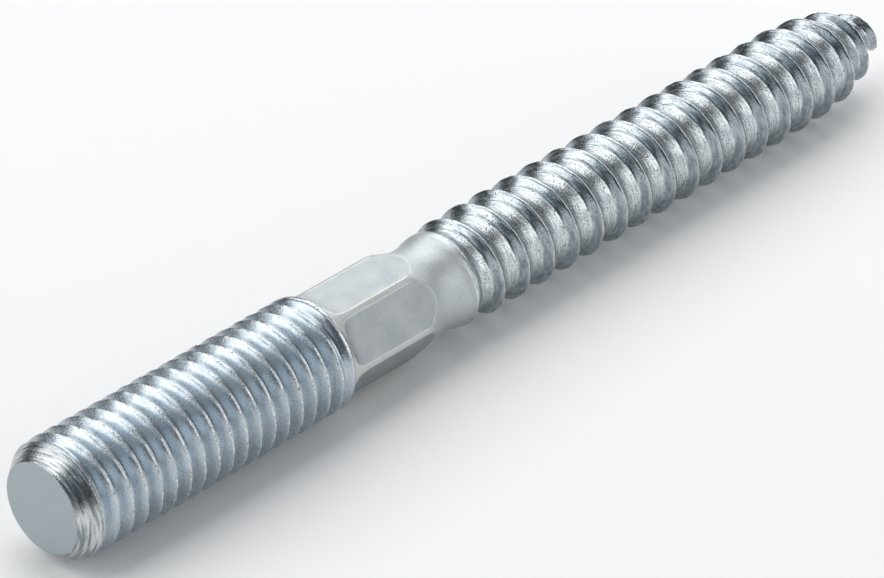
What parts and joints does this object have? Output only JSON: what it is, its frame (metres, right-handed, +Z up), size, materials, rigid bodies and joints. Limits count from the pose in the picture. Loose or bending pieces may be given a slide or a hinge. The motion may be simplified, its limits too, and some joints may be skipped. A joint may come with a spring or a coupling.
{
  "type": "hanger bolt",
  "caption": "Double-ended steel hanger bolt: a machine thread, a short hexagon for a spanner, a waisted neck and a coarse wood thread that ends in a gimlet point.",
  "frame": {"origin": "on the surface it lies on, under the middle of the bolt", "axes": "the bolt lies along X with its gimlet point towards +X and its flat machine end towards -X, +Z up; its axis dips 0.49 degrees towards the point, because it rests on two threads of unlike diameter"},
  "size_m": [0.0986, 0.0098, 0.0101],
  "materials": {
    "zinc_plated_steel": "bright zinc plate, satin"
  },
  "bodies": {
    "root": {"hanger_bolt": "zinc_plated_steel"}
  },
  "joints": []
}
